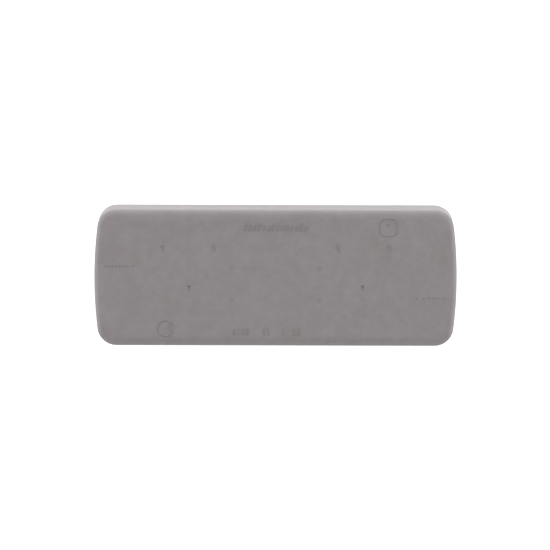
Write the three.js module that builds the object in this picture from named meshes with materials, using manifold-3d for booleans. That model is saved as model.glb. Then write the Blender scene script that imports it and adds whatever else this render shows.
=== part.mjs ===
// A clay bar kept in its moulded storage case: a shallow base, a lift-off lid that laps over
// the base's tongue, a tray with two pockets, and a pressed clay bar on a release liner in each.
// Millimetres. +X runs along the case, +Y across it and +Z up. The origin is the middle of the underside.

import * as THREE from 'three';
import { mergeVertices } from 'three/addons/utils/BufferGeometryUtils.js';
import Module from 'manifold-3d';

const wasm = await Module();
wasm.setup();

// Case, outside
const caseLength = 180;
const caseWidth = 68;
const caseHeight = 26;
const cornerRadius = 9.5;
const endBowRadius = 215; // the short ends bow gently outward
const faceRollWidth = 5.5; // the lid's shoulder, measured in from its edge
const faceRollDepth = 2.2; // and down from its face
const footRollWidth = 3;
const footRollDepth = 2;

// Case, walls and the half-lap where the lid meets the base
const shellWall = 2.4;
const lidRoof = 2.4;
const baseFloor = 2.4;
const baseHeight = 12;
const tongueHeight = 5;
const tongueThickness = 1.1;
const lapGap = 0.3; // between lid and tongue, on every face
const sealHeight = 1;

// Thumb scallops, one in each short end of the base, just under the lid
const scallopDepth = 1.2;
const scallopRadius = 40;
const scallopHeight = 7;

// Tray
const trayGap = 0.4; // to the base's wall
const trayFloorGap = 0.3;
const trayWall = 1.2;
const trayFloor = 1.2;
const trayHeight = 11.3;
const scoopRadius = 13;
const scoopDepth = 6;

// Clay bars and their release liners
const barMargin = 2.7; // to the pocket's walls
const barHeight = 13;
const barCornerRadius = 6;
const barRoll = 2.2;
const linerThickness = 0.3;
const linerGap = 0.3;
const linerInset = 1.2; // how far the liner stays inside the pocket's walls
const tabWidth = 20;
const tabRise = 3; // how far the tab stands above the bar

// Posts under the lid's roof that keep the bars down when the case is turned over
const postRadius = 2;
const postGap = 0.5;
const postPlaces = [
  { along: 56.2, across: 15.5 },
  { along: 30.8, across: 15.5 },
  { along: 21.8, across: 4.6 },
  { along: 21.8, across: -11.4 },
];

// Curves
const cornerSegments = 10;
const rollSegments = 6;
const roundSegments = 24;

// Heights that follow from those above
const tongueTop = baseHeight + tongueHeight;
const sealBottom = tongueTop + lapGap;
const rebateTop = sealBottom + sealHeight + lapGap;
const roofUnderside = caseHeight - lidRoof;
const trayBottom = baseFloor + trayFloorGap;
const pocketFloor = trayBottom + trayFloor;
const linerBottom = pocketFloor + linerGap;
const barBottom = linerBottom + linerThickness + linerGap;
const barTop = barBottom + barHeight;

// Insets from the case's outline
const trayInset = shellWall + trayGap;
const pocketInset = trayInset + trayWall;
const tongueInset = shellWall - tongueThickness;
const lapInset = tongueInset - lapGap;

// One pocket
const pocketLength = caseLength / 2 - pocketInset - trayWall / 2;
const pocketWidth = caseWidth - 2 * pocketInset;
const pocketCentre = trayWall / 2 + pocketLength / 2;
const barLength = pocketLength - 2 * barMargin;
const barWidth = pocketWidth - 2 * barMargin;

// The case's outline moved inwards: straight long sides, bowed ends, and corner arcs tangent to both.
function footprint(inset) {
  const halfLength = caseLength / 2 - inset;
  const halfWidth = caseWidth / 2 - inset;
  const radius = Math.max(cornerRadius - inset, 0.8);
  const bowRadius = endBowRadius - inset;
  const bowCentre = halfLength - bowRadius;
  const cornerY = halfWidth - radius;
  const cornerX = bowCentre + Math.sqrt((bowRadius - radius) ** 2 - cornerY ** 2);
  const bowAngle = Math.asin(cornerY / (bowRadius - radius));
  const shape = new THREE.Shape();
  shape.absarc(cornerX, -cornerY, radius, -Math.PI / 2, -bowAngle, false);
  shape.absarc(bowCentre, 0, bowRadius, -bowAngle, bowAngle, false);
  shape.absarc(cornerX, cornerY, radius, bowAngle, Math.PI / 2, false);
  shape.absarc(-cornerX, cornerY, radius, Math.PI / 2, Math.PI - bowAngle, false);
  shape.absarc(-bowCentre, 0, bowRadius, Math.PI - bowAngle, Math.PI + bowAngle, false);
  shape.absarc(-cornerX, -cornerY, radius, Math.PI + bowAngle, 1.5 * Math.PI, false);
  return shape;
}

function roundedRectangle(length, width, radius) {
  const x = length / 2 - radius;
  const y = width / 2 - radius;
  const shape = new THREE.Shape();
  shape.absarc(x, -y, radius, -Math.PI / 2, 0, false);
  shape.absarc(x, y, radius, 0, Math.PI / 2, false);
  shape.absarc(-x, y, radius, Math.PI / 2, Math.PI, false);
  shape.absarc(-x, -y, radius, Math.PI, 1.5 * Math.PI, false);
  return shape;
}

// Booleans work on solids whose shared vertices are merged.
function solid(geometry) {
  const bare = geometry.clone();
  bare.deleteAttribute('normal');
  bare.deleteAttribute('uv');
  const merged = mergeVertices(bare, 1e-4);
  const mesh = new wasm.Mesh({
    numProp: 3,
    vertProperties: new Float32Array(merged.attributes.position.array),
    triVerts: new Uint32Array(merged.index.array),
  });
  return new wasm.Manifold(mesh);
}

function geometryOf(manifold) {
  const mesh = manifold.getMesh();
  const geometry = new THREE.BufferGeometry();
  geometry.setAttribute('position', new THREE.BufferAttribute(new Float32Array(mesh.vertProperties), 3));
  geometry.setIndex(new THREE.BufferAttribute(new Uint32Array(mesh.triVerts), 1));
  geometry.computeVertexNormals();
  return geometry;
}

function prism(shape, bottom, top) {
  const geometry = new THREE.ExtrudeGeometry(shape, {
    depth: top - bottom,
    bevelEnabled: false,
    curveSegments: cornerSegments,
  });
  geometry.translate(0, 0, bottom);
  return solid(geometry);
}

// A prism whose top and bottom edges roll in by rollWidth over rollDepth, as a quarter ellipse.
// The shape given is the outline that is left flat inside the roll.
function rolledPrism(shape, bottom, top, rollWidth, rollDepth) {
  const geometry = new THREE.ExtrudeGeometry(shape, {
    depth: top - bottom - 2 * rollDepth,
    bevelSize: rollWidth,
    bevelThickness: rollDepth,
    bevelSegments: rollSegments,
    curveSegments: cornerSegments,
  });
  geometry.translate(0, 0, bottom + rollDepth);
  return solid(geometry);
}

function block(length, width, height, x, y, z) {
  const geometry = new THREE.BoxGeometry(length, width, height);
  geometry.translate(x, y, z);
  return solid(geometry);
}

function upright(radius, bottom, top, x, y) {
  const geometry = new THREE.CylinderGeometry(radius, radius, top - bottom, roundSegments);
  geometry.rotateX(Math.PI / 2);
  geometry.translate(x, y, (top + bottom) / 2);
  return solid(geometry);
}

// Everything between two heights, wide enough for the whole case.
function slab(bottom, top) {
  return block(2 * caseLength, 2 * caseWidth, top - bottom, 0, 0, (top + bottom) / 2);
}

function ring(outerInset, innerInset, bottom, top) {
  return prism(footprint(outerInset), bottom, top).subtract(prism(footprint(innerInset), bottom - 1, top + 1));
}

function scallop(side) {
  const geometry = new THREE.CylinderGeometry(scallopRadius, scallopRadius, scallopHeight, 4 * roundSegments);
  geometry.rotateX(Math.PI / 2);
  const x = side * (caseLength / 2 - scallopDepth + scallopRadius);
  geometry.translate(x, 0, baseHeight - scallopHeight / 2);
  return solid(geometry);
}

function caseBase() {
  const outside = rolledPrism(footprint(footRollWidth), 0, 2 * caseHeight, footRollWidth, footRollDepth);
  const shell = outside.intersect(slab(-1, baseHeight));
  const tongue = prism(footprint(tongueInset), baseFloor, tongueTop);
  const hollow = prism(footprint(shellWall), baseFloor, tongueTop + 1);
  return shell.subtract(scallop(1)).subtract(scallop(-1)).add(tongue).subtract(hollow);
}

function caseLid() {
  const outside = rolledPrism(footprint(faceRollWidth), -caseHeight, caseHeight, faceRollWidth, faceRollDepth);
  const shell = outside.intersect(slab(baseHeight + lapGap, caseHeight + 1));
  const rebate = prism(footprint(lapInset), baseHeight - 1, rebateTop);
  const hollow = prism(footprint(shellWall), baseHeight - 1, roofUnderside);
  let lid = shell.subtract(rebate).subtract(hollow);
  for (const place of postPlaces) {
    for (const side of [1, -1]) {
      lid = lid.add(upright(postRadius, barTop + postGap, caseHeight - lidRoof / 2, side * place.along, place.across));
    }
  }
  return lid;
}

function lidSeal() {
  return ring(tongueInset, shellWall, sealBottom, sealBottom + sealHeight);
}

function innerTray() {
  const outside = prism(footprint(trayInset), trayBottom, trayBottom + trayHeight);
  const hollow = prism(footprint(pocketInset), pocketFloor, trayBottom + trayHeight + 1);
  const divider = block(
    trayWall,
    caseWidth - 2 * trayInset - trayWall,
    trayHeight - trayFloor / 2,
    0,
    0,
    trayBottom + trayFloor / 2 + (trayHeight - trayFloor / 2) / 2,
  );
  const scoop = new THREE.CylinderGeometry(scoopRadius, scoopRadius, 4 * trayWall, 2 * roundSegments);
  scoop.rotateZ(Math.PI / 2);
  scoop.translate(0, 0, trayBottom + trayHeight - scoopDepth + scoopRadius);
  return outside.subtract(hollow).add(divider.subtract(solid(scoop)));
}

function clayBar(side) {
  const flat = roundedRectangle(barLength - 2 * barRoll, barWidth - 2 * barRoll, barCornerRadius - barRoll);
  return rolledPrism(flat, barBottom, barTop, barRoll, barRoll).translate([side * pocketCentre, 0, 0]);
}

// A sheet under the bar, cut to the pocket, whose outer end turns up into a tab above the bar.
function releaseLiner(side) {
  const outline = prism(footprint(pocketInset + linerInset), linerBottom, linerBottom + linerThickness);
  const half = block(pocketLength, caseWidth, caseHeight, side * (pocketCentre + linerInset), 0, caseHeight / 2);
  const tabHeight = barTop + tabRise - linerBottom;
  const tabX = side * (pocketCentre + (barLength + pocketLength) / 4);
  const tab = block(linerThickness, tabWidth, tabHeight, tabX, 0, linerBottom + tabHeight / 2);
  return outline.intersect(half).add(tab);
}

const shellPlastic = { color: 0x8a8486, roughness: 0.62, metalness: 0 };
const trayPlastic = { color: 0xc9c7c4, roughness: 0.5, metalness: 0 };
const sealRubber = { color: 0x3c3b3d, roughness: 0.8, metalness: 0 };
const clayPutty = { color: 0x7f8fa6, roughness: 0.7, metalness: 0 };
const linerFilm = { color: 0xe8e4da, roughness: 0.35, metalness: 0 };

const clayBarCase = new THREE.Group();

function addPiece(name, manifold, finish) {
  const mesh = new THREE.Mesh(geometryOf(manifold), new THREE.MeshStandardMaterial(finish));
  mesh.name = name;
  clayBarCase.add(mesh);
}

addPiece('case_base', caseBase(), shellPlastic);
addPiece('case_lid', caseLid(), shellPlastic);
addPiece('lid_seal', lidSeal(), sealRubber);
addPiece('inner_tray', innerTray(), trayPlastic);
for (const [name, side] of [['left', -1], ['right', 1]]) {
  addPiece(`clay_bar_${name}`, clayBar(side), clayPutty);
  addPiece(`release_liner_${name}`, releaseLiner(side), linerFilm);
}

export default clayBarCase;
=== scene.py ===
import math
import bmesh
import bpy
import numpy as np
from mathutils import Matrix, Vector


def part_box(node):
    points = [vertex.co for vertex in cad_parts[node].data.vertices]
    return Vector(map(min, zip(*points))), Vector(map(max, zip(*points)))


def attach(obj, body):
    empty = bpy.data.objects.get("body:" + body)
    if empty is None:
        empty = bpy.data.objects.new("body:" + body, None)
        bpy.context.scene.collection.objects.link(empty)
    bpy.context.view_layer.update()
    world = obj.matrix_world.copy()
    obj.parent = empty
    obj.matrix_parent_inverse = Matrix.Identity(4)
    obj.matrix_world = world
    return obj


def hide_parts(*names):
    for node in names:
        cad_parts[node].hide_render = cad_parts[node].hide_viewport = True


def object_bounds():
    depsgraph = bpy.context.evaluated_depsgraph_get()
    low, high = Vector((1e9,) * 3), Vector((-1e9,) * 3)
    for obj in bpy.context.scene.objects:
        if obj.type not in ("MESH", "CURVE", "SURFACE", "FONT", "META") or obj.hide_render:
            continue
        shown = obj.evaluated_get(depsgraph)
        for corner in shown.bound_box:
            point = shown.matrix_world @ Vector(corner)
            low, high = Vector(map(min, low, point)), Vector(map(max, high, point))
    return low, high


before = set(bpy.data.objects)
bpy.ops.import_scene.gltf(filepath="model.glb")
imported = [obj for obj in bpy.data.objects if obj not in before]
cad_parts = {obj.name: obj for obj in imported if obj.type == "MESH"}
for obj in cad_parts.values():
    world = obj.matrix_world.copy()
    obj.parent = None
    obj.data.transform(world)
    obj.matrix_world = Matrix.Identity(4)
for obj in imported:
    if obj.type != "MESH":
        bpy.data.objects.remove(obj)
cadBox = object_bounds()
mm = 0.001
print("frame loaded:", sorted(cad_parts))


def boxOf(node):
    low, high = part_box(node)
    return np.array(low) / mm, np.array(high) / mm


baseLow, baseHigh = boxOf("case_base")
lidLow, lidHigh = boxOf("case_lid")
trayLow, trayHigh = boxOf("inner_tray")
sealLow, sealHigh = boxOf("lid_seal")

lapPlay = 0.3  # between the lid's lip and the seal or tongue inside it, in millimetres as all sizes are

caseShape = {
    "halfLength": lidHigh[0],
    "halfWidth": lidHigh[1],
    "cornerRadius": 9.5,
    "endBowRadius": 215.0,
    "wall": 2.4,
    "lapInset": lidHigh[0] - sealHigh[0] - lapPlay,  # the lid's lip is this thick
}
gridAlong, gridAcross = 250, 96  # cells along and across a face; a ring has twice their sum
weldDistance, slitDistance = 2e-7, 1e-8  # metres; closer points and shorter edges are merged


# ---- small helpers that fill meshes

# Joins grids of points, each (rows, columns, 3) in millimetres, into one closed mesh in metres.
# closed says whether the last column meets the first. Doubles are merged where grids touch.
def meshFromGrids(name, grids, attributes=None):
    points, faces, offset = [], [], 0
    values = {key: [] for key in (attributes or {})}
    for number, (grid, closed) in enumerate(grids):
        rows, columns = grid.shape[:2]
        index = np.arange(rows * columns).reshape(rows, columns) + offset
        if closed:
            index = np.concatenate([index, index[:, :1]], axis=1)
        quads = np.stack([index[:-1, :-1], index[:-1, 1:], index[1:, 1:], index[1:, :-1]], axis=-1)
        faces.append(quads.reshape(-1, 4))
        points.append(grid.reshape(-1, 3))
        for key in values:
            values[key].append(np.broadcast_to(attributes[key][number], (rows, columns)).reshape(-1))
        offset += rows * columns
    points, faces = np.concatenate(points), np.concatenate(faces)
    mesh = bpy.data.meshes.new(name)
    mesh.vertices.add(len(points))
    mesh.vertices.foreach_set("co", (points * mm).astype(np.float32).ravel())
    mesh.loops.add(len(faces) * 4)
    mesh.loops.foreach_set("vertex_index", faces.astype(np.int32).ravel())
    mesh.polygons.add(len(faces))
    mesh.polygons.foreach_set("loop_start", np.arange(len(faces), dtype=np.int32) * 4)
    mesh.update(calc_edges=True)
    for key, parts in values.items():
        layer = mesh.attributes.new(key, "FLOAT", "POINT")
        layer.data.foreach_set("value", np.concatenate(parts).astype(np.float32))
    work = bmesh.new()
    work.from_mesh(mesh)
    bmesh.ops.remove_doubles(work, verts=work.verts, dist=weldDistance)
    bmesh.ops.dissolve_degenerate(work, edges=work.edges, dist=slitDistance)
    bmesh.ops.recalc_face_normals(work, faces=work.faces)
    work.to_mesh(mesh)
    work.free()
    mesh.polygons.foreach_set("use_smooth", np.ones(len(mesh.polygons), dtype=bool))
    mesh.update()
    return mesh


# Puts a mesh in the scene on its body, with its slot and the CAD nodes that it stands for.
def addPiece(name, mesh, material, body, stands=()):
    piece = bpy.data.objects.new(name, mesh)
    bpy.context.scene.collection.objects.link(piece)
    mesh.materials.append(material)
    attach(piece, body)
    if stands:
        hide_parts(*stands)


# ---- curves

# A power of a sine or cosine that keeps its sign.
def signedPower(value, power):
    return np.sign(value) * np.abs(value) ** power


# 0 below zero, 1 above one, and 3 t squared less 2 t cubed between.
def eased(t):
    t = np.clip(t, 0, 1)
    return t * t * (3 - 2 * t)


# A closed outline with straight long sides, bowed ends and corner arcs tangent to both. It is
# walked by length from the middle of one corner arc, so that its four stretches can edge a patch.
# Gives points and outward normals, each (columns, 2).
def outline(halfLength, halfWidth, cornerRadius, bowRadius, along=gridAlong, across=gridAcross):
    bowCentre = halfLength - bowRadius
    cornerY = halfWidth - cornerRadius
    cornerX = bowCentre + math.sqrt((bowRadius - cornerRadius) ** 2 - cornerY ** 2)
    bow = math.asin(cornerY / (bowRadius - cornerRadius))
    quarter = math.pi / 2
    middle = (quarter - bow) / 2
    arcs = [
        (-cornerX, -cornerY, cornerRadius, 3 * quarter - middle, 3 * quarter),
        (cornerX, -cornerY, cornerRadius, 3 * quarter, 4 * quarter - bow),
        (bowCentre, 0, bowRadius, 4 * quarter - bow, 4 * quarter + bow),
        (cornerX, cornerY, cornerRadius, 4 * quarter + bow, 5 * quarter),
        (-cornerX, cornerY, cornerRadius, 5 * quarter, 6 * quarter - bow),
        (-bowCentre, 0, bowRadius, 6 * quarter - bow, 6 * quarter + bow),
        (-cornerX, -cornerY, cornerRadius, 6 * quarter + bow, 7 * quarter - middle),
    ]
    arcPoints = 400
    angle = np.concatenate([np.linspace(arc[3], arc[4], arcPoints) for arc in arcs])
    centreX, centreY, radius = [np.repeat([arc[k] for arc in arcs], arcPoints) for k in range(3)]
    x = centreX + radius * np.cos(angle)
    y = centreY + radius * np.sin(angle)
    length = np.concatenate([[0], np.cumsum(np.hypot(np.diff(x), np.diff(y)))])
    cornerAngles = [3 * quarter + middle, 5 * quarter - middle, 5 * quarter + middle]
    stops = np.concatenate([[0], np.interp(cornerAngles, angle, length), [length[-1]]])
    stretches = zip(stops, stops[1:], [along, across, along, across])
    walked = np.concatenate([np.linspace(a, b, n, endpoint=False) for a, b, n in stretches])
    turned = np.interp(walked, length, angle)
    points = np.stack([np.interp(walked, length, x), np.interp(walked, length, y)], axis=-1)
    return points, np.stack([np.cos(turned), np.sin(turned)], axis=-1)


def caseOutline(case):
    return outline(case["halfLength"], case["halfWidth"], case["cornerRadius"], case["endBowRadius"])


# Sweeps a profile round an outline: each row is the outline moved in by its inset, at its height.
def sweep(ring, profile):
    points, normals = ring
    inset, height = profile[:, 0], profile[:, 1]
    flat = points[None] - inset[:, None, None] * normals[None]
    high = np.broadcast_to(height[:, None, None], flat.shape[:2] + (1,))
    return np.concatenate([flat, high], axis=-1)


# Fills a closed ring of points with a Coons patch: opposite edges are blended along and across,
# less the blend of the four corners.
def patch(ringPoints, along=gridAlong, across=gridAcross):
    loop = np.concatenate([ringPoints, ringPoints[:1]])
    low = loop[:along + 1]
    right = loop[along:along + across + 1]
    high = loop[along + across:2 * along + across + 1][::-1]
    left = loop[2 * along + across:][::-1]
    u = np.linspace(0, 1, along + 1)[None, :, None]
    v = np.linspace(0, 1, across + 1)[:, None, None]
    sides = (1 - v) * low[None] + v * high[None] + (1 - u) * left[:, None] + u * right[:, None]
    corners = (1 - u) * (1 - v) * low[0] + u * (1 - v) * low[-1]
    corners = corners + (1 - u) * v * high[0] + u * v * high[-1]
    return sides - corners


# A profile from corner points (inset, height, radius): straight stretches joined by arcs of that
# radius, each arc turning from one direction to the next in equal steps.
def rounded(corners, steps=5, stretch=2.5):
    corners = [np.array(corner, float) for corner in corners]
    rows = [corners[0][:2]]
    for before, here, after in zip(corners, corners[1:], corners[2:]):
        backward = before[:2] - here[:2]
        forward = after[:2] - here[:2]
        backward /= np.linalg.norm(backward)
        forward /= np.linalg.norm(forward)
        half = math.acos(np.clip(backward @ forward, -1, 1)) / 2
        if here[2] == 0:
            rows.append(here[:2])
            continue
        reach = here[2] / math.tan(half)
        start = here[:2] + backward * reach
        between = (backward + forward) / np.linalg.norm(backward + forward)
        centre = here[:2] + between * here[2] / math.sin(half)
        first = start - centre
        last = here[:2] + forward * reach - centre
        turn = np.linspace(0, 1, steps)[:, None]
        swept = math.pi - 2 * half
        arc = np.sin((1 - turn) * swept) * first + np.sin(turn * swept) * last
        rows.extend(centre + arc / math.sin(swept))
    rows.append(corners[-1][:2])
    rows = np.array(rows)
    gaps = np.maximum(np.ceil(np.linalg.norm(np.diff(rows, axis=0), axis=1) / stretch), 1).astype(int)
    pieces = [np.linspace(a, b, n, endpoint=False) for a, b, n in zip(rows, rows[1:], gaps)]
    return np.concatenate(pieces + [rows[-1:]])


# A quarter of a superellipse from a flat face out to an upright wall: the inset is
# width (1 - sin a to the power p) and the height is face + direction depth (1 - cos a to the power p).
# With p = 1 it is an ellipse, and a smaller p keeps the face flat for longer.
def roll(width, depth, face, rows=14, direction=-1, power=1.0):
    a = np.linspace(0, math.pi / 2, rows)
    sine, cosine = np.sin(a) ** power, np.maximum(np.cos(a), 0) ** power
    return np.stack([width * (1 - sine), face + direction * depth * (1 - cosine)], axis=-1)


# ---- shader wires

# A socket that takes part in sums; each operation adds its Math node.
class Wire:
    def __init__(self, tree, socket):
        self.tree = tree
        self.socket = socket

    def node(self, kind, settings=None, sockets=None, output=0):
        made = self.tree.nodes.new("ShaderNode" + kind)
        for key, value in (settings or {}).items():
            if key == "stops":
                ramp = made.color_ramp
                while len(ramp.elements) < len(value):
                    ramp.elements.new(0.5)
                for element, (place, colour) in zip(ramp.elements, value):
                    element.position = place
                    element.color = colour
            else:
                setattr(made, key, value)
        for key, value in (sockets or {}).items():
            if isinstance(value, Wire):
                self.tree.links.new(value.socket, made.inputs[key])
            else:
                made.inputs[key].default_value = value
        return Wire(self.tree, made.outputs[output])

    def sum(self, operation, *values):
        return self.node("Math", {"operation": operation}, dict(enumerate(values)))

    def __add__(self, other):
        return self.sum("ADD", self, other)

    def __radd__(self, other):
        return self.sum("ADD", other, self)

    def __sub__(self, other):
        return self.sum("SUBTRACT", self, other)

    def __rsub__(self, other):
        return self.sum("SUBTRACT", other, self)

    def __mul__(self, other):
        return self.sum("MULTIPLY", self, other)

    def __rmul__(self, other):
        return self.sum("MULTIPLY", other, self)

    def __truediv__(self, other):
        return self.sum("DIVIDE", self, other)

    # 0 where this is below low, 1 above high, and an s-curve between.
    def between(self, low, high):
        settings = {"interpolation_type": "SMOOTHSTEP"}
        return self.node("MapRange", settings, {"Value": self, "From Min": low, "From Max": high})

    def noise(self, size, detail=3.0, roughness=0.5, distortion=0.0):
        sockets = {"Vector": self, "Scale": 1 / (size * mm), "Detail": detail, "Roughness": roughness}
        sockets["Distortion"] = distortion
        return self.node("TexNoise", None, sockets)

    def distanceTo(self, place):
        centre = tuple(value * mm for value in place)
        return self.node("VectorMath", {"operation": "DISTANCE"}, {0: self, 1: centre}, output=1) / mm

    def tint(self, first, second, blend="MIX"):
        settings = {"data_type": "RGBA", "blend_type": blend}
        return self.node("Mix", settings, {0: self, 6: first, 7: second}, output=2)


def newMaterial(name):
    material = bpy.data.materials.new(name)
    material.use_nodes = True
    tree = material.node_tree
    shader = tree.nodes["Principled BSDF"]
    place = Wire(tree, tree.nodes.new("ShaderNodeTexCoord").outputs["Object"])
    return material, shader, place


def connect(shader, sockets):
    for key, value in sockets.items():
        if isinstance(value, Wire):
            value.tree.links.new(value.socket, shader.inputs[key])
        else:
            shader.inputs[key].default_value = value


def attribute(place, name):
    return place.node("Attribute", {"attribute_name": name}, output=2)


def bump(place, height, distance, strength=1.0):
    return place.node("Bump", None, {"Height": height, "Distance": distance * mm, "Strength": strength})


# ---- materials

# where the face shows a broken gate, a sink over a post, and a fainter sink
gateMarks = [(-43.0, -4.6), (43.2, -4.4)]
sinkMarks = [(x, 15.2) for x in (-56.2, -30.8, 30.8, 56.2)]
faintMarks = [(x, y) for x in (-21.8, 21.8) for y in (4.6, -11.4)]

shellLook = {
    "colour": (0.201, 0.179, 0.189, 1),
    "warm": (0.189, 0.167, 0.163, 1),
    "pale": (0.26, 0.24, 0.245, 1),
    "dark": (0.10, 0.09, 0.092, 1),
    "roughness": 0.52,
}
plasticPattern = {
    "cloudSize": 26,
    "patchSize": 7,
    "blotchSize": 3.1,
    "speckSize": 0.9,
    "grainSize": 0.16,
    "grainDepth": 0.03,
}

# painted shade round the marks, with a spot of painted shadow offset below the gates and sinks: across
# and along from the mark, full radius, outer radius, strength
paintedShadeSpots = {
    "gate": [(0, 0, 0.5, 1.15, 0.75), (0, -0.9, 0.3, 1.4, 0.3)],
    "sink": [(0, 0, 0.3, 2.2, 0.36), (0.5, -1.6, 0.3, 1.5, 0.3)],
    "faint": [(0, 0, 0.3, 2.0, 0.25)],
}
blushRing = {"along": -2, "rise": (9.0, 11.5), "fall": (11.5, 14.5), "strength": 0.06}


# The painted shade and painted shadow round the marks, and the faint ring of blush round each gate,
# kept to the lid's face.
def shadeAndBlushFace(colour, place, patchy, dark):
    level = lidHigh[2]
    height = place.node("SeparateXYZ", None, {0: place}, output=2)
    top = height.between((level - 0.5) * mm, (level - 0.2) * mm)
    for kind, places in (("gate", gateMarks), ("sink", sinkMarks), ("faint", faintMarks)):
        for x, y in places:
            if kind == "gate":
                halo = place.distanceTo((x, y + blushRing["along"], level))
                blush = halo.between(*blushRing["rise"]) * (1 - halo.between(*blushRing["fall"]))
                blush = blush * patchy.between(0.3, 0.6)
                colour = (blush * top * blushRing["strength"]).tint(colour, dark)
            # each mark darkened as painted shade, with an offset spot of painted shadow below the gates
            # and sinks
            for across, along, inner, outer, strength in paintedShadeSpots[kind]:
                away = place.distanceTo((x + across, y + along, level))
                colour = ((1 - away.between(inner, outer)) * top * strength).tint(colour, dark)
    return colour


# Spark-eroded plastic: a fine even grain, slow cloudy mottling, a few dark specks, and rubbed edges
# painted paler, partly real wear and partly painted highlight.
def mouldedPlastic(name, look, marked=False):
    material, shader, place = newMaterial(name)
    cloud = place.noise(plasticPattern["cloudSize"], 4.0, 0.6, 0.4)
    patchy = place.noise(plasticPattern["patchSize"], 3.0, 0.6)
    grain = place.noise(plasticPattern["grainSize"], 2.0, 0.6)
    speck = place.noise(plasticPattern["speckSize"], 1.0).between(0.70, 0.76)
    blotch = place.noise(plasticPattern["blotchSize"], 2.0, 0.6)
    colour = (cloud.between(0.40, 0.70) * 0.7).tint(look["colour"], look["warm"])
    colour = ((patchy - 0.5) * 0.8 + (blotch - 0.5) * 0.6 + 0.12).tint(colour, look["pale"])
    colour = (speck * 0.22).tint(colour, look["dark"])
    wear = attribute(place, "wear")
    # rubbed edges tinted paler: wear and painted highlight along the edges
    colour = (wear * (0.25 + patchy * 0.5)).tint(colour, look["pale"])
    height = grain * 0.6 + patchy * 0.4
    if marked:
        # the lid's face gets painted shade and shadow round its marks, and the gates' blush
        colour = shadeAndBlushFace(colour, place, patchy, look["dark"])
    connect(shader, {
        "Base Color": colour,
        "Roughness": look["roughness"] + (patchy - 0.5) * 0.16 - wear * 0.08,
        "Normal": bump(place, height, plasticPattern["grainDepth"], 0.35),
        "Specular IOR Level": 0.5,
    })
    return material


shellPlastic = mouldedPlastic("shellPlastic", shellLook)
lidPlastic = mouldedPlastic("lidPlastic", shellLook, marked=True)
# the marks' plastic is darker than the face: painted shade standing in for the shading of their relief
shadedMarkLook = dict(shellLook, colour=(0.172, 0.153, 0.161, 1), pale=(0.21, 0.19, 0.195, 1))
shadedMarkPlastic = mouldedPlastic("shadedMarkPlastic", shadedMarkLook)

trayLook = {
    "colour": (0.45, 0.445, 0.43, 1),
    "warm": (0.42, 0.41, 0.39, 1),
    "pale": (0.54, 0.535, 0.52, 1),
    "dark": (0.22, 0.21, 0.20, 1),
    "roughness": 0.36,
}
trayPlastic = mouldedPlastic("trayPlastic", trayLook)


# Putty: waxy, faintly mottled where it was kneaded, with fine grit and a soft sheen.
def clayPutty():
    material, shader, place = newMaterial("clayPutty")
    swirl = place.noise(14, 5.0, 0.62, 1.4)
    grit = place.noise(0.35, 2.0, 0.7)
    smear = place.noise(3.2, 3.0, 0.55, 0.8)
    colour = swirl.between(0.3, 0.75).tint((0.115, 0.195, 0.30, 1), (0.150, 0.24, 0.355, 1))
    colour = (grit.between(0.62, 0.75) * 0.3).tint(colour, (0.27, 0.35, 0.45, 1))
    connect(shader, {
        "Base Color": colour,
        "Roughness": 0.5 + (smear - 0.5) * 0.35,
        "Normal": bump(place, smear * 0.7 + grit * 0.3, 0.08, 0.3),
        "Subsurface Weight": 0.06,
        "Subsurface Radius": (0.8, 0.9, 1.0),
        "Subsurface Scale": 0.0015,
    })
    return material


def sealRubber():
    material, shader, place = newMaterial("sealRubber")
    bloom = place.noise(5, 4.0, 0.6)
    grain = place.noise(0.2, 2.0)
    colour = bloom.between(0.4, 0.8).tint((0.022, 0.021, 0.022, 1), (0.05, 0.048, 0.048, 1))
    connect(shader, {
        "Base Color": colour,
        "Roughness": 0.62 + (bloom - 0.5) * 0.2,
        "Normal": bump(place, grain, 0.02, 0.4),
    })
    return material


# Release film: milky and silky, with long faint creases.
def linerFilm():
    material, shader, place = newMaterial("linerFilm")
    crease = place.noise(9, 2.0, 0.4, 2.0)
    haze = place.noise(22, 3.0)
    colour = haze.between(0.3, 0.7).tint((0.72, 0.70, 0.64, 1), (0.80, 0.785, 0.74, 1))
    connect(shader, {
        "Base Color": colour,
        "Roughness": 0.32 + (haze - 0.5) * 0.2,
        "Normal": bump(place, crease, 0.15, 0.4),
        "Subsurface Weight": 0.15,
        "Subsurface Radius": (1.0, 1.0, 1.0),
        "Subsurface Scale": 0.0006,
    })
    return material


putty, rubber, film = clayPutty(), sealRubber(), linerFilm()
print("materials made")


# ---- lid

lidShape = {
    "rollWidth": 5.5,
    "rollDepth": 2.1,
    "rollPower": 0.83,
    "roof": 2.4,
    "edgeRadius": 0.16,
    "rebateTop": sealHigh[2] + lapPlay,
    "rebateRadius": 0.12,
    "ceilingFillet": 1.2,
    "sinkDepth": 0.16,
    "faintDepth": 0.096,
    "sinkWidth": 1.4,
    "gateDepth": 0.55,
    "gateWidth": 1.0,
    "bow": 0.10,  # the roof sags this much between its walls
    "fadeCells": 9,  # the relief dies away over this many cells next to the shoulder
    "wearAndHighlightInset": 1.0,  # the rubbed line round the shoulder, painted paler as wear and painted highlight, and half its width
    "wearAndHighlightSpread": 0.9,
    "edgeWearAndHighlightSpread": 0.25,
}


# The face's relief: a shallow dip over each post, a small pit at each gate, and a slight sag of the
# middle. Each dip is a bell curve of the distance from its centre.
def faceRelief(x, y, shape):
    endToEnd = 1 - (x / caseShape["halfLength"]) ** 2
    sideToSide = 1 - (y / caseShape["halfWidth"]) ** 2
    relief = -shape["bow"] * endToEnd * sideToSide
    for places, depth, width in (
        (sinkMarks, shape["sinkDepth"], shape["sinkWidth"]),
        (faintMarks, shape["faintDepth"], shape["sinkWidth"]),
        (gateMarks, shape["gateDepth"], shape["gateWidth"]),
    ):
        for placeX, placeY in places:
            relief = relief - depth * np.exp(-((x - placeX) ** 2 + (y - placeY) ** 2) / width ** 2)
    return relief


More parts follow.
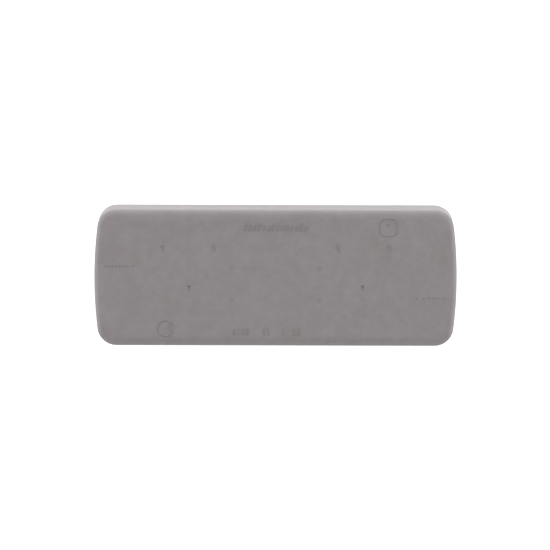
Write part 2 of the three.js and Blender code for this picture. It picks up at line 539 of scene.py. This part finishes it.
def makeLid(case, shape):
    ring = caseOutline(case)
    top, bottom = lidHigh[2], lidLow[2]
    edge = shape["edgeRadius"]
    shoulder = roll(shape["rollWidth"], shape["rollDepth"], top, 18, power=shape["rollPower"])
    inside = rounded([
        (0, top - shape["rollDepth"], 0),
        (0, bottom, edge),
        (case["lapInset"], bottom, edge),
        (case["lapInset"], shape["rebateTop"], shape["rebateRadius"]),
        (case["wall"], shape["rebateTop"], edge),
        (case["wall"], top - shape["roof"], shape["ceilingFillet"]),
        (shape["rollWidth"], top - shape["roof"], 0),
    ])
    profile = np.concatenate([shoulder, inside[1:]])
    walls = sweep(ring, profile)
    face = patch(walls[0])
    ceiling = patch(walls[-1])
    up, along = np.arange(face.shape[0]), np.arange(face.shape[1])
    cells = np.minimum(np.minimum(up, up[::-1])[:, None], np.minimum(along, along[::-1])[None, :])
    fade = eased(cells / shape["fadeCells"])
    face[..., 2] = top + faceRelief(face[..., 0], face[..., 1], shape) * fade
    inset, height = profile[:, 0], profile[:, 1]
    onShoulder = height > top - shape["rollDepth"] - 0.5
    # the shoulder's outer roll and the lid's bottom edge at the parting line are painted paler, as wear
    # and painted highlight
    rowWearAndHighlight = np.exp(-((inset - shape["wearAndHighlightInset"]) / shape["wearAndHighlightSpread"]) ** 2) * onShoulder
    rowWearAndHighlight = rowWearAndHighlight + np.exp(-((height - bottom) / shape["edgeWearAndHighlightSpread"]) ** 2) * (inset < 0.3)
    wear = [rowWearAndHighlight[:, None], np.zeros((1, 1)), np.zeros((1, 1))]
    return meshFromGrids("lidShell", [(walls, True), (face, False), (ceiling, False)], {"wear": wear})


lidMesh = makeLid(caseShape, lidShape)
addPiece("lidShell", lidMesh, lidPlastic, "lid", ["case_lid"])
print("lid made:", len(lidMesh.polygons), "faces")


# ---- base

baseShape = {
    "rollWidth": 3.0,
    "rollDepth": 2.0,
    "floor": 2.4,
    "edgeRadius": 0.16,
    "rootRadius": 0.12,
    "tongueRadius": 0.35,
    "tongueInset": caseShape["lapInset"] + lapPlay,
    "ledge": lidLow[2] - 0.14,  # the line between base and lid
    "tongueTop": baseHigh[2],
    "floorFillet": 1.2,
    "floorInset": 5.5,  # where the walls' profile hands over to the floor's patch
    "grooveInset": 7.0,
    "grooveHalf": 0.7,
    "grooveSlope": 0.25,
    "grooveDepth": 0.45,
    "wellAt": 46.0,
    "wellHalf": (17.0, 7.5),
    "wellDepth": 0.45,
    "ejectors": (22.0, 66.0),
    "ejectorRow": 20.0,
    "ejectorRadius": 3.0,
    "ejectorDent": 0.16,
    "ejectorSpread": 0.7,
    "scallopDepth": 1.15,
    "scallopRadius": 40.0,
    "scallopHeight": 7.0,
    "scallopLip": 0.5,
    "wearAndHighlightInset": 0.5,
}


# How far a thumb scallop cuts into the end wall: a shallow arc across, run out at its lower lip.
def scallopCut(y, z, shape):
    arc = np.maximum(shape["scallopDepth"] - y ** 2 / (2 * shape["scallopRadius"]), 0)
    lip = shape["ledge"] - shape["scallopHeight"]
    return arc * eased((z - lip) / shape["scallopLip"])


# The underside's relief: two shallow wells with rounded ends, and a ring dent at each ejector. A well
# is one inside a superellipse of power four and falls to nothing over its rim.
def underRelief(x, y, shape):
    relief = 0 * x
    halfX, halfY = shape["wellHalf"]
    for side in (-1, 1):
        away = (((x - side * shape["wellAt"]) / halfX) ** 4 + (y / halfY) ** 4) ** 0.25
        relief = relief + shape["wellDepth"] * eased((1.06 - away) / 0.12)
        for placeX in shape["ejectors"]:
            for placeY in (-shape["ejectorRow"], shape["ejectorRow"]):
                ring = np.hypot(x - side * placeX, y - placeY) - shape["ejectorRadius"]
                relief = relief + shape["ejectorDent"] * np.exp(-(ring / shape["ejectorSpread"]) ** 2)
    return relief


def makeBase(case, shape):
    ring = caseOutline(case)
    edge, depth = shape["edgeRadius"], shape["grooveDepth"]
    inner = shape["grooveInset"] + shape["grooveHalf"]
    outer = shape["grooveInset"] - shape["grooveHalf"]
    groove = rounded([
        (inner + 1.1, 0, 0),
        (inner, 0, 0.2),
        (inner - shape["grooveSlope"], depth, 0.15),
        (outer + shape["grooveSlope"], depth, 0.15),
        (outer, 0, 0.2),
        (shape["rollWidth"] + 0.2, 0, 0),
    ], 4, 1.2)
    foot = np.concatenate([groove, roll(shape["rollWidth"], shape["rollDepth"], 0, 9, 1)])
    lip = shape["ledge"] - shape["scallopHeight"]
    inside = rounded([
        (0, shape["rollDepth"], 0),
        *[(0, lip + part * shape["scallopLip"], 0) for part in (0, 0.33, 0.67, 1)],
        (0, shape["ledge"], edge),
        (shape["tongueInset"], shape["ledge"], shape["rootRadius"]),
        (shape["tongueInset"], shape["tongueTop"], shape["tongueRadius"]),
        (case["wall"], shape["tongueTop"], shape["tongueRadius"]),
        (case["wall"], shape["floor"], shape["floorFillet"]),
        (shape["floorInset"], shape["floor"], 0),
    ], 4, 1.4)
    profile = np.concatenate([foot, inside[1:]])
    points, normals = ring
    inset, height = profile[:, 0][:, None], profile[:, 1][:, None]
    # the scallops cut only the rows of the outer wall, up to where the profile turns in at the tongue
    rising = np.arange(len(profile)) >= len(foot)
    turned = profile[:, 0] >= shape["tongueInset"] - shape["rootRadius"] - 0.01
    outerWall = rising & (np.cumsum(rising & turned) == 0)
    endWall = np.abs(normals[None, :, 0]) > 0.7
    cut = scallopCut(points[None, :, 1], height, shape) * endWall
    inset = np.where(outerWall[:, None], np.maximum(inset, cut), inset)
    flat = points[None] - inset[..., None] * normals[None]
    high = np.broadcast_to(height[..., None], flat.shape[:2] + (1,))
    walls = np.concatenate([flat, high], axis=-1)
    # the rows near the foot's roll are painted paler, as wear and painted highlight
    rowWearAndHighlight = np.exp(-((profile[:, 0] - shape["wearAndHighlightInset"]) / shape["wearAndHighlightInset"]) ** 2)
    rowWearAndHighlight = rowWearAndHighlight * (profile[:, 1] < shape["rollDepth"])
    wear = [rowWearAndHighlight[:, None], np.zeros((1, 1)), np.zeros((1, 1))]
    under = patch(walls[0])
    under[..., 2] += underRelief(under[..., 0], under[..., 1], shape)
    grids = [(walls, True), (under, False), (patch(walls[-1]), False)]
    return meshFromGrids("baseShell", grids, {"wear": wear})


baseMesh = makeBase(caseShape, baseShape)
addPiece("baseShell", baseMesh, shellPlastic, "base", ["case_base"])
print("base made:", len(baseMesh.polygons), "faces")


# ---- small moulded details shared by several pieces

# A surface of revolution about an upright line: each profile point (radius, height) goes round once.
def revolve(profile, place, columns=32):
    turn = np.linspace(0, 2 * math.pi, columns, endpoint=False)[None, :]
    profile = np.array(profile, float)
    radius, height = profile[:, 0][:, None], profile[:, 1][:, None]
    x = place[0] + radius * np.cos(turn)
    y = place[1] + radius * np.sin(turn)
    return np.stack([x, y, place[2] + height + 0 * turn], axis=-1)


# A rounded bar: a superellipsoid with half sizes a, b, c. At angles u and v, x is a cos u cos v, y is
# b cos u sin v and z is c sin u, each sine and cosine to the power p with its sign kept, and x also
# leans by slant times y.
def roundedBar(place, half, slant=0.0, power=0.35, rows=13, columns=28):
    u = np.linspace(-math.pi / 2, math.pi / 2, rows)[:, None]
    v = np.linspace(0, 2 * math.pi, columns, endpoint=False)[None, :]
    level = np.abs(np.cos(u)) ** power
    x = half[0] * level * signedPower(np.cos(v), power)
    y = half[1] * level * signedPower(np.sin(v), power)
    z = half[2] * signedPower(np.sin(u), power) + 0 * v
    return np.stack([place[0] + x + slant * y, place[1] + y, place[2] + z], axis=-1)


# A low bead round a loop: the loop is a superellipse of the given power, and the bead's section
# is an ellipse, width across the loop and height above and below it.
def beadLoop(place, half, power, width, height, columns=72):
    u = np.linspace(0, 2 * math.pi, columns, endpoint=False)[None, :]
    v = np.linspace(0, 2 * math.pi, 13)[:, None]
    across = width * np.cos(v)
    loopX = place[0] + half[0] * signedPower(np.cos(u), power) * (1 + across / half[0])
    loopY = place[1] + half[1] * signedPower(np.sin(u), power) * (1 + across / half[1])
    return np.stack([loopX, loopY, place[2] + height * np.sin(v) + 0 * u], axis=-1)


# ---- marks on the lid's face: plain raised ticks, dots and rings, and the two gate pits

markShape = {
    "tickHeight": 0.26,
    "tickWidth": 0.85,
    "upperRow": {"y": 25.4, "from": -14.9, "pitch": 2.3, "count": 14, "slant": 0.28},
    "upperReach": (2.0, 1.5, 1.5),  # half lengths of each three ticks, which share a foot line
    "lowerRow": {
        "y": -27.0,
        "places": (-20.6, -18.4, -16.2, -14.0, -5.6, -3.4, 3.8, 9.4, 11.6),
        "reach": 1.8,
    },
    "insertRing": {"place": (56.0, 25.4), "half": 4.35, "power": 0.62},
    "insertDot": {"offset": (-0.4, 1.5), "half": (0.8, 0.8, 0.3)},
    "dateRing": {"place": (-54.6, -25.2), "half": 3.9, "power": 1.0},
    "dateHub": (0.45, 0.45, 0.2),
    "dateHand": {"offset": (1.9, 0.3), "half": (0.3, 1.7, 0.2), "slant": -0.25},
    "beadWidth": 0.45,
    "beadHeight": 0.22,
    # rows near the ends: first place, pitch, count, half sizes and power of each dot or dash
    "endRows": [
        ((-84.4, 6.0), 1.75, 9, (0.55, 0.7, 0.2), 1.0),
        ((70.3, -9.8), 3.3, 2, (0.7, 0.7, 0.26), 1.0),
        ((76.6, -9.8), 2.3, 4, (0.85, 0.4, 0.2), 0.35),
    ],
}


def makeLidMarks(shape):
    def onFace(x, y):
        return x, y, float(lidHigh[2] + faceRelief(np.array(x), np.array(y), lidShape))

    grids = []
    width, height = shape["tickWidth"] / 2, shape["tickHeight"]
    row = shape["upperRow"]
    for number in range(row["count"]):
        reach = shape["upperReach"][number % 3]
        place = onFace(row["from"] + number * row["pitch"], row["y"] - shape["upperReach"][0] + reach)
        grids.append(roundedBar(place, (width, reach, height), row["slant"]))
    row = shape["lowerRow"]
    for x in row["places"]:
        grids.append(roundedBar(onFace(x, row["y"]), (width, row["reach"], height)))
    for ring in (shape["insertRing"], shape["dateRing"]):
        half = (ring["half"], ring["half"])
        bead = shape["beadWidth"], shape["beadHeight"]
        grids.append(beadLoop(onFace(*ring["place"]), half, ring["power"], *bead))
    x, y, level = onFace(*shape["insertRing"]["place"])
    dot = shape["insertDot"]
    place = (x + dot["offset"][0], y + dot["offset"][1], level)
    grids.append(roundedBar(place, dot["half"], power=1.0))
    x, y, level = onFace(*shape["dateRing"]["place"])
    grids.append(roundedBar((x, y, level), shape["dateHub"], power=1.0))
    hand = shape["dateHand"]
    place = (x + hand["offset"][0], y + hand["offset"][1], level)
    grids.append(roundedBar(place, hand["half"], hand["slant"]))
    for (x, y), pitch, count, half, power in shape["endRows"]:
        places = [onFace(x + number * pitch, y) for number in range(count)]
        grids += [roundedBar(place, half, power=power) for place in places]
    return meshFromGrids("lidMarks", [(grid, True) for grid in grids])


# the raised marks take the darker plastic, which is painted shade
addPiece("lidMarks", makeLidMarks(markShape), shadedMarkPlastic, "lid")


# radius and height of each point of a gate pit, from the stub in the middle out to the collar
pitProfile = [(0, -0.30), (0.22, -0.28), (0.32, -0.48), (0.62, -0.50), (0.76, -0.14), (0.84, -0.03)]
pitProfile += [(0.95, 0.015), (1.6, 0.012), (2.0, -0.02), (2.1, -0.12), (0, -0.7)]
collarRadius = 2.0


# The pits left where the gates broke off: a flush collar, a small well, and a stub in the middle.
def makeGatePits():
    grids = []
    for x, y in gateMarks:
        level = lidHigh[2] + float(faceRelief(np.array(x + collarRadius), np.array(y), lidShape))
        grids.append(revolve(pitProfile, (x, y, level), 40))
    return meshFromGrids("gatePits", [(grid, True) for grid in grids])


addPiece("gatePits", makeGatePits(), lidPlastic, "lid")


# ---- posts and ejector marks inside the lid

# places are for the right half, and the left half mirrors them
postShape = {
    "radius": 2.0,
    "tipRadius": 0.35,
    "rootRadius": 0.8,
    "gap": 0.5,  # between a post's tip and the clay
    "places": ((56.2, 15.5), (30.8, 15.5), (21.8, 4.6), (21.8, -11.4)),
    "ejectors": ((72, 22), (72, -22)),
    "ejectorRadius": 2.6,
    "ejectorProud": 0.06,
    "bury": 0.3,  # how far posts go into the roof
}


def makePosts(shape):
    clayTop = boxOf("clay_bar_left")[1][2]
    ceiling = lidHigh[2] - lidShape["roof"]
    tip = clayTop + shape["gap"]
    radius, tipRound, root = shape["radius"], shape["tipRadius"], shape["rootRadius"]
    a = np.linspace(0, math.pi / 2, 5)
    b = np.linspace(0, math.pi / 2, 6)
    tipArc = [radius - tipRound + tipRound * np.sin(a), tip + tipRound - tipRound * np.cos(a)]
    rootArc = [radius + root - root * np.cos(b), ceiling - root + root * np.sin(b)]
    arcs = np.concatenate([np.stack(tipArc, axis=-1), np.stack(rootArc, axis=-1)])
    buried = ceiling + shape["bury"]
    profile = np.concatenate([[(0, tip)], arcs, [(radius + root, buried), (0, buried)]])
    wide, proud = shape["ejectorRadius"], shape["ejectorProud"]
    disc = [(0, -proud), (wide - 0.4, -proud), (wide - 0.14, -proud), (wide - 0.02, -proud / 2)]
    disc += [(wide, proud / 2), (wide, 0.2), (0, 0.2)]
    posts = [(side * x, y, 0) for side in (-1, 1) for x, y in shape["places"]]
    discs = [(side * x, y, ceiling) for side in (-1, 0, 1) for x, y in shape["ejectors"]]
    grids = [revolve(profile, place) for place in posts] + [revolve(disc, place) for place in discs]
    return meshFromGrids("lidPosts", [(grid, True) for grid in grids])


addPiece("lidPosts", makePosts(postShape), shellPlastic, "lid")


# ---- seal

sealShape = {
    "squareness": 0.6,
    "clearance": 0.05,
    "grooveDepth": 0.22,
    "grooveSpread": 0.35,  # in radians of the section's turn
}


# A closed section swept round the case: a rounded square, half cos u and half sin u to the power of
# the squareness with their signs kept, with a bell-shaped groove in its underside.
def makeSeal(case, shape):
    ring = caseOutline(case)
    u = np.linspace(0, 2 * math.pi, 25)
    middle = (sealLow[2] + sealHigh[2]) / 2
    half = (sealHigh[2] - sealLow[2]) / 2
    cosine = signedPower(np.cos(u), shape["squareness"])
    sine = signedPower(np.sin(u), shape["squareness"])
    inset = case["wall"] - half - shape["clearance"] + half * cosine
    underside = 1.5 * math.pi
    groove = shape["grooveDepth"] * np.exp(-((u - underside) / shape["grooveSpread"]) ** 2)
    height = middle + half * sine + groove
    return meshFromGrids("sealRing", [(sweep(ring, np.stack([inset, height], axis=-1)), True)])


addPiece("sealRing", makeSeal(caseShape, sealShape), rubber, "lid", ["lid_seal"])
print("lid details made")


# ---- tray

trayShape = {
    "inset": lidHigh[0] - trayHigh[0],
    "wall": 1.2,
    "floor": 1.2,
    "bottom": trayLow[2],
    "top": trayHigh[2],
    "fillet": 1.0,
    "rimRadius": 0.4,
    "floorInset": 2.0,  # past the wall's inner face, where the profile hands over to the patches
    "bury": (0.4, 0.3),  # how far the divider goes into the end walls and the floor
    "scoopRadius": 13.0,
    "scoopDepth": 6.0,
}


def makeTray(case, shape):
    ring = caseOutline(case)
    inner = shape["inset"] + shape["wall"]
    floor = shape["bottom"] + shape["floor"]
    profile = rounded([
        (inner + shape["floorInset"], shape["bottom"], 0),
        (shape["inset"], shape["bottom"], shape["fillet"]),
        (shape["inset"], shape["top"], shape["rimRadius"]),
        (inner, shape["top"], shape["rimRadius"]),
        (inner, floor, shape["fillet"]),
        (inner + shape["floorInset"], floor, 0),
    ])
    walls = sweep(ring, profile)
    # the rim's top is painted paler, as wear and painted highlight
    rowWearAndHighlight = (profile[:, 1] > shape["top"] - 0.3).astype(float)
    wear = [rowWearAndHighlight[:, None], np.zeros((1, 1)), np.zeros((1, 1))]
    grids = [(walls, True), (patch(walls[0]), False), (patch(walls[-1]), False)]
    return meshFromGrids("trayShell", grids, {"wear": wear})


# The divider: a section with filleted roots and a round top, carried across the tray. At the finger
# scoop its height over the roots is scaled down, so that the top follows a circle.
def makeDivider(case, shape):
    floor = shape["bottom"] + shape["floor"]
    half, fillet = shape["wall"] / 2, shape["fillet"]
    a = np.linspace(0, math.pi / 2, 7)
    rootX, rootZ = half + fillet - fillet * np.sin(a), floor + fillet - fillet * np.cos(a)
    tipX, tipZ = half * np.cos(a), shape["top"] - half + half * np.sin(a)
    sideX = np.concatenate([[half + fillet], rootX, tipX])
    sideZ = np.concatenate([[floor - shape["bury"][1]], rootZ, tipZ])
    loopX = np.concatenate([-sideX, sideX[::-1]])[None, :]
    loopZ = np.concatenate([sideZ, sideZ[::-1]])[None, :]
    end = case["halfWidth"] - shape["inset"] - shape["wall"] + shape["bury"][0]
    y = np.linspace(-end, end, 150)[:, None]
    radius = shape["scoopRadius"]
    dip = np.maximum(np.sqrt(np.maximum(radius ** 2 - y ** 2, 0)) - radius + shape["scoopDepth"], 0)
    root = floor + fillet
    scale = (shape["top"] - dip - root) / (shape["top"] - root)
    z = np.where(loopZ > root, root + (loopZ - root) * scale, loopZ)
    grid = np.stack([loopX + 0 * y, y + 0 * loopX, z], axis=-1)
    caps = grid[[0, -1]].mean(axis=1, keepdims=True) + np.zeros_like(grid[:1])
    grid = np.concatenate([caps[:1], grid, caps[1:]])
    return meshFromGrids("trayDivider", [(grid, True)])


addPiece("trayShell", makeTray(caseShape, trayShape), trayPlastic, "tray", ["inner_tray"])
addPiece("trayDivider", makeDivider(caseShape, trayShape), trayPlastic, "tray")
print("tray made")


# ---- clay bars

clayShape = {
    "roll": 2.2,
    "cornerRadius": 6.0,
    "endBowRadius": 900.0,
    "seam": 0.22,
    "seamSpread": 0.35,
    "wander": 0.20,
    "ripple": 0.05,
    "rippleReach": 4.5,
    "margin": 0.35,  # room for the wander inside the bar's box
    "footShare": 0.35,  # of the wander is left at the bar's foot
    "cells": (110, 76),
    # thumb dents: along and across from the middle, depth, half width
    "dents": (
        (-14, 9, 0.55, 7),
        (12, 12, 0.45, 8),
        (20, -8, 0.6, 7),
        (-4, -13, 0.35, 9),
        (-27, -6, 0.4, 6),
    ),
}


# A smooth wandering value at each point: a sum of slow sine waves with seeded directions.
def wander(points, seed, reach=14.0, waves=9):
    dice = np.random.default_rng(seed)
    directions = dice.normal(size=(waves, 3)) * 2 * math.pi / reach / 1.7
    phases = dice.uniform(0, 2 * math.pi, waves)
    return np.sin(points @ directions.T + phases).sum(axis=-1) / math.sqrt(waves)


# A pressed bar: a rolled slab swept round its outline, with a faint seam at half height, thumb dents
# in its top as bell curves, and a slow wander and a small ripple of the whole skin. The wander is
# weaker near the bottom, and everything is kept within the bar's box.
def makeClay(node, shape, seed):
    low, high = boxOf(node)
    centre, half = (low + high) / 2, (high - low) / 2
    margin, roundness, cells = shape["margin"], shape["roll"], shape["cells"]
    corner, bow = shape["cornerRadius"], shape["endBowRadius"]
    ring = outline(half[0] - margin, half[1] - margin, corner, bow, *cells)
    up = roll(roundness, roundness, low[2] + 0.1, 9, 1)
    down = roll(roundness, roundness, high[2] - margin, 9)[::-1]
    side = np.linspace(up[-1, 1], down[0, 1], 14)[1:-1]
    seam = -shape["seam"] * np.exp(-((side - centre[2]) / shape["seamSpread"]) ** 2)
    profile = np.concatenate([up, np.stack([seam, side], axis=-1), down])
    walls = sweep(ring, profile)
    shaped = []
    for grid in (walls, patch(walls[0], *cells), patch(walls[-1], *cells)):
        rise = np.clip((grid[..., 2] - low[2] - 0.5) / 4, 0, 1)
        top = np.clip((grid[..., 2] - high[2] + 4) / 3, 0, 1)
        for x, y, depth, width in shape["dents"]:
            turnedX, turnedY = (x, y) if seed % 2 else (-x, -y)
            awayX = (grid[..., 0] - turnedX) / width
            awayY = (grid[..., 1] - turnedY) / (width * 1.5)
            grid[..., 2] -= depth * np.exp(-(awayX ** 2 + awayY ** 2)) * top
        waves = np.stack([wander(grid, seed + k) for k in range(3)], axis=-1)
        small = np.stack([wander(grid, seed + 7 + k, shape["rippleReach"]) for k in range(3)], axis=-1)
        push = waves * shape["wander"] + small * shape["ripple"]
        grid = grid + push * (shape["footShare"] + (1 - shape["footShare"]) * rise[..., None])
        grid[..., 0] += centre[0]
        grid[..., 1] += centre[1]
        shaped.append(np.clip(grid, low, high))
    return meshFromGrids(node, [(shaped[0], True), (shaped[1], False), (shaped[2], False)])


# ---- release liners with their pull tabs

linerShape = {
    "halfThickness": 0.06,
    "height": 0.15,  # the sheet's middle over the tray's floor
    "cells": (80, 56),
    "cornerRadius": 4.3,
    "endBowRadius": 400.0,
    "wave": 0.10,
    "tabHalf": 9.8,
    "tabHalfThickness": 0.07,
    "tabRoot": 13,  # how far the tab runs along the floor before the wall
    "tabHeight": 0.32,
    "tabTip": 4.5,
    "tipPower": 2.6,
    "wallGap": 0.35,
    "bend": 1.1,
    "leanFrom": 7,  # the last stretch of the tab leans in by the next value
    "lean": 0.7,
}


# The sheet's wave: a product of two sines, plus half of a sine that runs askew.
def linerWave(x, y, shape, seed):
    wave = np.sin(x * 0.21 + seed) * np.sin(y * 0.16 + 2 * seed)
    wave = wave + 0.5 * np.sin(x * 0.09 - y * 0.27 + seed)
    return shape["wave"] * wave / 1.5


# The sheet under the bar: a thin slab with rounded corners, waved a little.
def makeLiner(node, shape, seed):
    low, high = boxOf(node)
    centre, half = (low + high) / 2, (high - low) / 2
    cells, thin = shape["cells"], shape["halfThickness"]
    ring = outline(half[0] - 0.1, half[1], shape["cornerRadius"], shape["endBowRadius"], *cells)
    middle = low[2] + shape["height"]
    walls = sweep(ring, np.array([(0, middle - thin), (0, middle + thin)]))
    grids = [walls, patch(walls[0], *cells), patch(walls[-1], *cells)]
    for grid in grids:
        grid[..., 0] += centre[0]
        grid[..., 1] += centre[1]
        grid[..., 2] += linerWave(grid[..., 0], grid[..., 1], shape, seed)
    return meshFromGrids(node, [(grids[0], True), (grids[1], False), (grids[2], False)])


# The tab: a flat strip carried along a path that leaves the sheet, bends up at the end wall and
# leans back a little. Its half width closes to a round tip as a quarter superellipse.
def makeTab(name, node, side, shape):
    low, high = boxOf(node)
    wallX = max(abs(low[0]), abs(high[0])) - shape["wallGap"]
    ground = low[2] + shape["tabHeight"]
    bend, tip, power = shape["bend"], shape["tabTip"], shape["tipPower"]
    a = np.linspace(0, math.pi / 2, 9)[1:]
    runX = np.linspace(wallX - shape["tabRoot"], wallX - bend, 12)
    riseZ = np.linspace(ground + bend, high[2] - 0.05, 40)[1:]
    leanFrom = shape["leanFrom"]
    lean = np.clip((riseZ - high[2] + leanFrom) / leanFrom, 0, 1) ** 2 * shape["lean"]
    x = np.concatenate([runX, wallX - bend + bend * np.sin(a), wallX - lean])
    z = np.concatenate([np.full_like(runX, ground), ground + bend - bend * np.cos(a), riseZ])
    length = np.concatenate([[0], np.cumsum(np.hypot(np.diff(x), np.diff(z)))])
    toTip = np.clip((length - length[-1] + tip) / tip, 0, 1)
    half = shape["tabHalf"] * np.maximum(1 - toTip ** power, 0) ** (1 / power)
    tangentX, tangentZ = np.gradient(x), np.gradient(z)
    size = np.hypot(tangentX, tangentZ)
    normalX, normalZ = -tangentZ / size, tangentX / size
    v = np.linspace(0, 2 * math.pi, 36, endpoint=False)[None, :]
    across = half[:, None] * signedPower(np.cos(v), 0.8)
    off = shape["tabHalfThickness"] * np.sin(v) * np.minimum(1, half[:, None] + 0.02)
    stripX = side * (x[:, None] + off * normalX[:, None])
    stripZ = z[:, None] + off * normalZ[:, None]
    grid = np.stack([stripX, across, stripZ], axis=-1)
    grid = np.concatenate([grid[:1].mean(axis=1, keepdims=True) + np.zeros_like(grid[:1]), grid])
    return meshFromGrids(name, [(grid, True)])


for word, side, seed in (("Left", -1, 3), ("Right", 1, 8)):
    lower = word.lower()
    barNode, linerNode = "clay_bar_" + lower, "release_liner_" + lower
    bar = makeClay(barNode, clayShape, seed)
    liner = makeLiner(linerNode, linerShape, seed)
    tab = makeTab("pullTab" + word, linerNode, side, linerShape)
    addPiece("clayBar" + word, bar, putty, "tray", [barNode])
    addPiece("liner" + word, liner, film, "tray", [linerNode])
    addPiece("pullTab" + word, tab, film, "tray")
print("clay and liners made")


# ---- details of the base: snap beads on the tongue, ticks in the wells, ejector discs on the floor

detailShape = {
    "beadReach": 6.0,
    "beadHalfHeight": 0.4,
    "beadProud": 0.14,
    "beadRise": 0.4,  # over the middle of the tongue
    "beadAlongs": (-48, 48),
    "tickPitch": 3.0,
    "tickCount": 9,
    "tickReach": 2.1,
    "longTickReach": 3.0,
    "tickHalfWidth": 0.45,
    "tickHeight": 0.3,
    "discRadius": 3.0,
    "discProud": 0.05,
    "discs": [(x, y) for x in (-66, -22, 22, 66) for y in (-21, 21)],
}


def makeBaseDetails(case, base, shape):
    middle = (base["tongueTop"] + base["ledge"]) / 2 + shape["beadRise"]
    wallY = case["halfWidth"] - base["tongueInset"]
    bead = (shape["beadReach"], shape["beadProud"], shape["beadHalfHeight"])
    grids = []
    for side in (-1, 1):
        for x in shape["beadAlongs"]:
            grids.append(roundedBar((x, side * wallY, middle), bead, power=0.5))
    for side in (-1, 1):
        for number in range(shape["tickCount"]):
            along = side * base["wellAt"] + (number - shape["tickCount"] // 2) * shape["tickPitch"]
            reach = shape["longTickReach"] if number % 4 == 0 else shape["tickReach"]
            tick = (shape["tickHalfWidth"], reach, shape["tickHeight"])
            grids.append(roundedBar((along, 0, base["wellDepth"]), tick))
    wide, proud = shape["discRadius"], shape["discProud"]
    disc = [(0, proud), (wide - 0.4, proud), (wide - 0.14, proud), (wide - 0.02, 0.02)]
    disc += [(wide, -0.03), (wide, -0.2), (0, -0.2)]
    grids += [revolve(disc, (x, y, base["floor"])) for x, y in shape["discs"]]
    return meshFromGrids("baseDetails", [(grid, True) for grid in grids])


details = makeBaseDetails(caseShape, baseShape, detailShape)
addPiece("baseDetails", details, shellPlastic, "base")
print("base details made")


# ---- camera, light and floor

viewShape = {
    "tilt": 6.8,  # degrees from straight down, towards the far long side
    "roll": 0.15,  # degrees
    "aside": -0.27,
    "distance": 3000.0,
    "lens": 394.0,
    "near": 0.01,  # clipping distances in metres
    "far": 20,
}

# place in metres, size, power and colour of each soft light; all face the middle
lightShape = {
    "overheadSoftbox": ((0.0, 0.3, 1.4), (1.6, 1.2), 6.3, (1.0, 1.0, 1.0)),
    "farSoftbox": ((0.1, 1.4, 0.14), (2.4, 0.26), 17, (0.93, 1.0, 0.99)),
    "rightSoftbox": ((1.25, 0.1, 0.6), (1.0, 0.7), 10, (0.96, 1.0, 1.0)),
    "leftSoftbox": ((-1.25, 0.1, 0.6), (1.0, 0.7), 9.5, (1.0, 1.0, 1.0)),
}
worldStrength = 0.47
floorShape = {
    "half": 3000.0,
    "cells": 8,
    "level": -0.05,
    "glow": 0.55,  # lit from below, like a light table, so that shadows stay faint
}


def makeCamera(shape):
    low, high = cadBox
    centre = (Vector(low) + Vector(high)) / 2 + Vector((shape["aside"] * mm, 0, 0))
    tilt = math.radians(shape["tilt"])
    back = Vector((0, math.sin(tilt), math.cos(tilt)))
    camera = bpy.data.objects.new("camera", bpy.data.cameras.new("camera"))
    bpy.context.scene.collection.objects.link(camera)
    camera.data.lens = shape["lens"]
    camera.data.sensor_width = 36
    camera.data.clip_start = shape["near"]
    camera.data.clip_end = shape["far"]
    right = Vector((1, 0, 0))
    up = back.cross(right)
    spin = Matrix.Rotation(math.radians(shape["roll"]), 3, back)
    right, up = spin @ right, spin @ up
    turn = Matrix((right, up, back)).transposed()
    camera.matrix_world = Matrix.Translation(centre + back * shape["distance"] * mm) @ turn.to_4x4()
    bpy.context.scene.camera = camera


def areaLight(name, place, size, power, colour):
    light = bpy.data.lights.new(name, "AREA")
    light.shape = "RECTANGLE"
    light.size, light.size_y = size
    light.energy = power
    light.color = colour
    holder = bpy.data.objects.new(name, light)
    bpy.context.scene.collection.objects.link(holder)
    holder.location = place
    holder.rotation_mode = "QUATERNION"
    holder.rotation_quaternion = Vector(place).to_track_quat("Z", "Y")


makeCamera(viewShape)
for lightName, settings in lightShape.items():
    areaLight(lightName, *settings)

world = bpy.data.worlds.new("world")
world.use_nodes = True
world.node_tree.nodes["Background"].inputs["Color"].default_value = (1, 1, 1, 1)
world.node_tree.nodes["Background"].inputs["Strength"].default_value = worldStrength
bpy.context.scene.world = world
bpy.context.scene.view_settings.view_transform = "Standard"


def makeFloor(shape):
    side = np.linspace(-shape["half"], shape["half"], shape["cells"] + 1)
    x, y = np.meshgrid(side, side)
    grid = np.stack([x, y, np.full_like(x, shape["level"])], axis=-1)
    mesh = meshFromGrids("floor", [(grid, False)])
    floor = bpy.data.objects.new("floor", mesh)
    bpy.context.scene.collection.objects.link(floor)
    material, shader, place = newMaterial("paleFloor")
    shade = place.noise(180, 2.0)
    connect(shader, {
        "Base Color": shade.tint((0.90, 0.90, 0.90, 1), (0.92, 0.92, 0.92, 1)),
        "Roughness": 0.8,
        "Emission Color": (1, 1, 1, 1),
        "Emission Strength": shape["glow"],
    })
    mesh.materials.append(material)


makeFloor(floorShape)
print("stage made")
